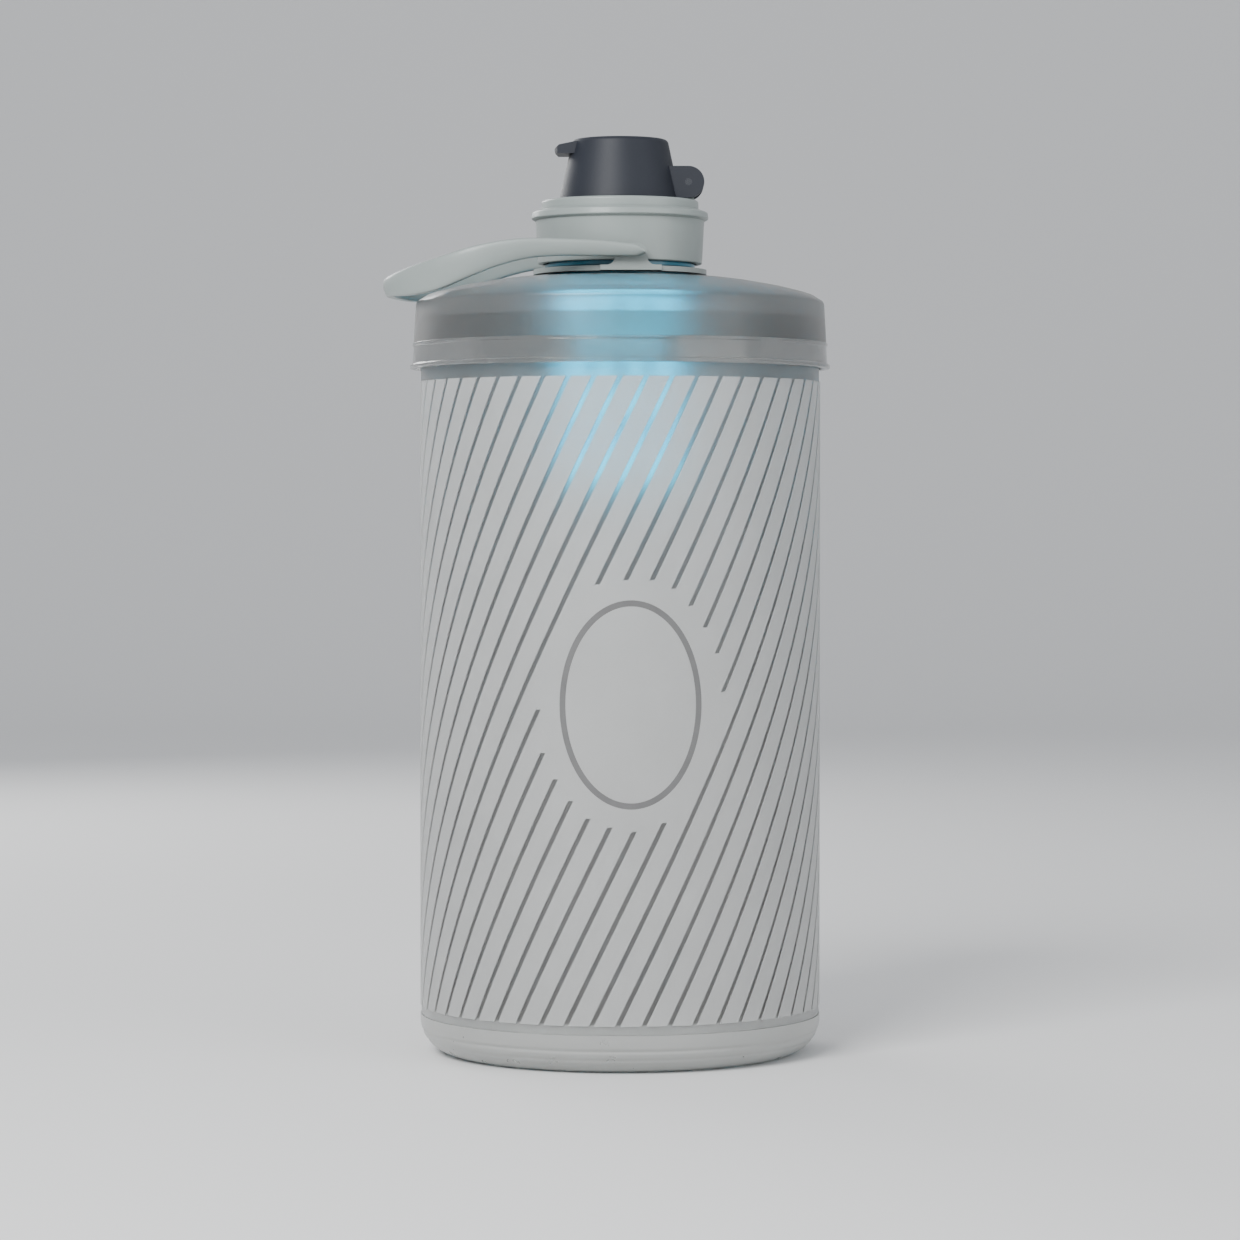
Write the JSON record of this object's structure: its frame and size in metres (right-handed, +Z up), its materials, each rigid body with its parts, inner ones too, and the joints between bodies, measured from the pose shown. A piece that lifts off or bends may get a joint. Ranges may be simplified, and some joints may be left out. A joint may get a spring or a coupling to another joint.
{
  "type": "folding water bottle",
  "caption": "Collapsible soft-walled water bottle with a ribbed grip sleeve, screw cap with flip lid and spout, hanging filter cartridge and a swivelling carry loop.",
  "frame": {"origin": "centre of the underside, where the base cup's flat centre pad stands on the surface", "axes": "+Z up along the bottle's axis; -Y is the front; the carry loop lies towards -X and the lid's hinge is on the +X side"},
  "size_m": [0.1157, 0.1084, 0.2369],
  "materials": {
    "base_tpu": "clear smoky TPU, glossy",
    "film_tpu": "clear smoky TPU film, glossy",
    "grip_bands": "pale grey raised bands, satin",
    "shoulder_tpu": "frosted clear TPU",
    "neck_teal": "deep teal, glossy",
    "cap_grey": "light warm grey polypropylene, satin",
    "lid_slate": "dark slate polypropylene, satin",
    "soft_silicone": "white silicone, matte",
    "o_ring_black": "black nitrile, satin",
    "pin_steel": "stainless steel, ground",
    "filter_blue": "blue polypropylene, satin",
    "potting_resin": "cast resin",
    "fibre_white": "bundle of white hollow fibres"
  },
  "bodies": {
    "base": {"base_cup": "base_tpu"},
    "sleeve": {"sleeve_film": "film_tpu", "grip_pattern": "grip_bands"},
    "shoulder": {"shoulder": "shoulder_tpu", "weld_hoop": "shoulder_tpu", "neck_ring": "neck_teal"},
    "collar": {"carry_collar": "cap_grey"},
    "handle": {"carry_loop": "cap_grey"},
    "filter": {"filter_head": "filter_blue", "neck_gasket": "soft_silicone", "filter_o_ring": "o_ring_black", "fibre_potting": "potting_resin", "fibre_bundle": "fibre_white", "filter_cage": "filter_blue", "filter_end_cap": "filter_blue"},
    "cap": {"screw_cap": "cap_grey", "cap_liner": "soft_silicone", "drinking_spout": "soft_silicone"},
    "lid": {"flip_lid": "lid_slate", "lid_seal": "soft_silicone", "hinge_pin": "pin_steel"}
  },
  "joints": [
    {"name": "wall_twist", "type": "hinge", "parent": "base", "child": "sleeve", "pos_m": [0, 0, 0], "axis": [0, 0, 1], "range_deg": [0, 60.5]},
    {"name": "collapse", "type": "slide", "parent": "sleeve", "child": "shoulder", "axis": [0, 0, 1], "range_m": [-0.138, 0], "deforming": ["sleeve_film", "grip_pattern"]},
    {"name": "collar_swivel", "type": "hinge", "parent": "shoulder", "child": "collar", "pos_m": [0, 0, 0.2024], "axis": [0, 0, 1], "continuous": true},
    {"name": "handle_swing", "type": "hinge", "parent": "collar", "child": "handle", "pos_m": [0.0028, 0, 0.2069], "axis": [0, 1, 0], "range_deg": [0, 120]},
    {"name": "cap_lift", "type": "slide", "parent": "shoulder", "child": "filter", "axis": [0, 0, 1], "range_m": [0, 0.006]},
    {"name": "cap_turn", "type": "hinge", "parent": "filter", "child": "cap", "pos_m": [0, 0, 0.21], "axis": [0, 0, 1], "range_deg": [0, 540]},
    {"name": "lid_flip", "type": "hinge", "parent": "cap", "child": "lid", "pos_m": [0.0177, 0, 0.2256], "axis": [0, 1, 0], "range_deg": [0, 130]}
  ],
  "couplings": [
    {"joint": "wall_twist", "follows": "collapse", "rad_per_m": -7.588},
    {"joint": "cap_turn", "follows": "cap_lift", "rad_per_m": 1570.8}
  ]
}
